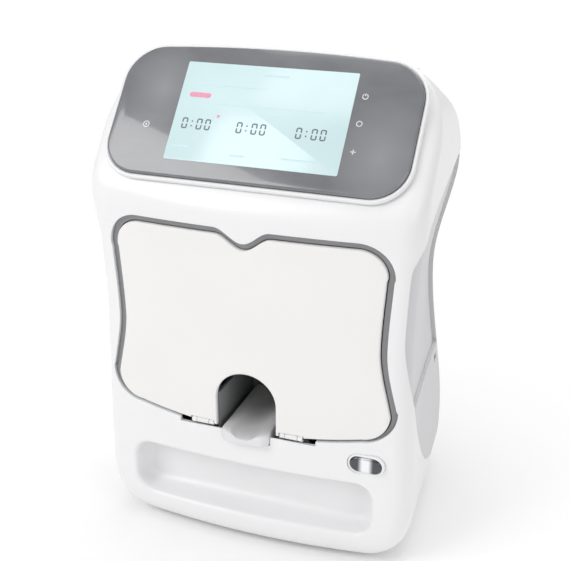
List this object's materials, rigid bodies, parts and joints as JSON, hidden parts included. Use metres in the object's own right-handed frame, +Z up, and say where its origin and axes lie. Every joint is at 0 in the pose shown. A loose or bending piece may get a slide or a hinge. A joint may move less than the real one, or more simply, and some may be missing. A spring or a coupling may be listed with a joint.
{
  "type": "digital nail art printer",
  "caption": "Upright countertop nail printer: waisted white casing, tilted touch screen, drop-down front door with a finger hole, two-axis carriage and a lift-out ink cartridge.",
  "frame": {"origin": "middle of the footprint of the whole machine, on the surface that it stands on", "axes": "+Z up, -Y out of the front (door and screen side), +X to the right as seen from the front"},
  "size_m": [0.2128, 0.163, 0.3171],
  "materials": {
    "shell_white": "satin white ABS",
    "shell_rear": "satin off-white ABS",
    "panel_grey": "fine texture grey ABS",
    "door_white": "satin warm white ABS",
    "trim_grey": "matte dark grey gasket",
    "base_grey": "matte",
    "rubber_black": "matte",
    "steel": "ground",
    "screen_black": "polished black-backed cover glass",
    "display": "lit panel",
    "circuit": "solder mask",
    "chrome": "polished",
    "dark_plastic": "fine texture",
    "rest_grey": "soft touch",
    "sheet_metal": "zinc plated sheet",
    "bronze": "sintered bronze",
    "aluminium": "machined",
    "ivory_plastic": "moulded",
    "belt_rubber": "matte",
    "cartridge_black": "semi-gloss black",
    "label_blue": "smooth coated label",
    "flex_copper": "copper and amber film",
    "gold": "gold plated",
    "lamp_white": "frosted"
  },
  "bodies": {
    "root": {"front_shell": "shell_white", "head_shell": "shell_white", "recess_tub": "shell_white", "rear_shell": "shell_rear", "side_panel_left": "panel_grey", "side_panel_right": "panel_grey", "base_plate": "base_grey", "rubber_feet": "rubber_black", "case_screws": "steel", "screen_bezel": "shell_white", "screen_glass": "screen_black", "display_module": "display", "display_board": "circuit", "door_trim": "trim_grey", "hinge_brackets": "shell_white", "hinge_pins": "steel", "latch_magnet": "dark_plastic", "camera_bracket": "dark_plastic", "camera_module": "dark_plastic", "light_strip": "lamp_white", "button_bezel": "dark_plastic", "button_switch": "dark_plastic", "finger_rest": "rest_grey", "finger_chamber": "dark_plastic", "chassis_frame": "sheet_metal", "chassis_posts": "aluminium", "guide_rods": "steel", "x_motor": "sheet_metal", "idler_bracket": "sheet_metal", "drive_belt": "belt_rubber", "main_board": "circuit", "power_board": "circuit", "board_standoffs": "bronze", "dc_inlet": "dark_plastic", "usb_port": "steel", "fan_frame": "dark_plastic"},
    "door": {"front_door": "door_white", "door_knuckles": "door_white", "door_strike": "steel"},
    "power_button": {"power_button": "chrome"},
    "drive_pulley": {"drive_pulley": "aluminium"},
    "idler_pulley": {"idler_pulley": "ivory_plastic"},
    "gantry": {"gantry_frame": "ivory_plastic", "gantry_bushings": "bronze", "gantry_bar": "ivory_plastic", "stage_rods": "steel", "y_motor": "sheet_metal"},
    "lead_screw": {"lead_screw": "steel"},
    "carriage": {"carriage": "dark_plastic", "lead_nut": "bronze", "contact_board": "circuit"},
    "cartridge": {"cartridge_body": "cartridge_black", "cartridge_lid": "cartridge_black", "cartridge_label": "label_blue", "contact_flex": "flex_copper", "contact_pads": "gold", "nozzle_plate": "gold"},
    "fan_rotor": {"fan_rotor": "dark_plastic"}
  },
  "joints": [
    {"name": "door_hinge", "type": "hinge", "parent": "root", "child": "door", "pos_m": [0, -0.07346, 0.088], "axis": [1, 0, 0], "range_deg": [0, 78]},
    {"name": "button_press", "type": "slide", "parent": "root", "child": "power_button", "axis": [0, 1, 0], "range_m": [0, 0.0015], "stiffness_N_per_m": 500},
    {"name": "gantry_travel", "type": "slide", "parent": "root", "child": "gantry", "axis": [1, 0, 0], "range_m": [-0.038, 0.038]},
    {"name": "stage_travel", "type": "slide", "parent": "gantry", "child": "carriage", "axis": [0, 1, 0], "range_m": [-0.01, 0.01]},
    {"name": "cartridge_lift", "type": "slide", "parent": "carriage", "child": "cartridge", "axis": [0, 0, 1], "range_m": [0, 0.05]},
    {"name": "drive_turn", "type": "hinge", "parent": "root", "child": "drive_pulley", "pos_m": [0.065, 0.0585, 0.14], "axis": [0, 0, 1], "range_deg": [-400, 400]},
    {"name": "idler_turn", "type": "hinge", "parent": "root", "child": "idler_pulley", "pos_m": [-0.065, 0.0585, 0.14], "axis": [0, 0, 1], "range_deg": [-400, 400]},
    {"name": "screw_turn", "type": "hinge", "parent": "gantry", "child": "lead_screw", "pos_m": [0.028, 0, 0.14], "axis": [0, 1, 0], "range_deg": [-540, 540]},
    {"name": "fan_spin", "type": "hinge", "parent": "root", "child": "fan_rotor", "pos_m": [0.022, 0.0615, 0.026], "axis": [0, 1, 0], "continuous": true}
  ],
  "couplings": [
    {"joint": "drive_turn", "follows": "gantry_travel", "rad_per_m": 157.09},
    {"joint": "idler_turn", "follows": "gantry_travel", "rad_per_m": 157.09},
    {"joint": "screw_turn", "follows": "stage_travel", "rad_per_m": 785.4}
  ]
}
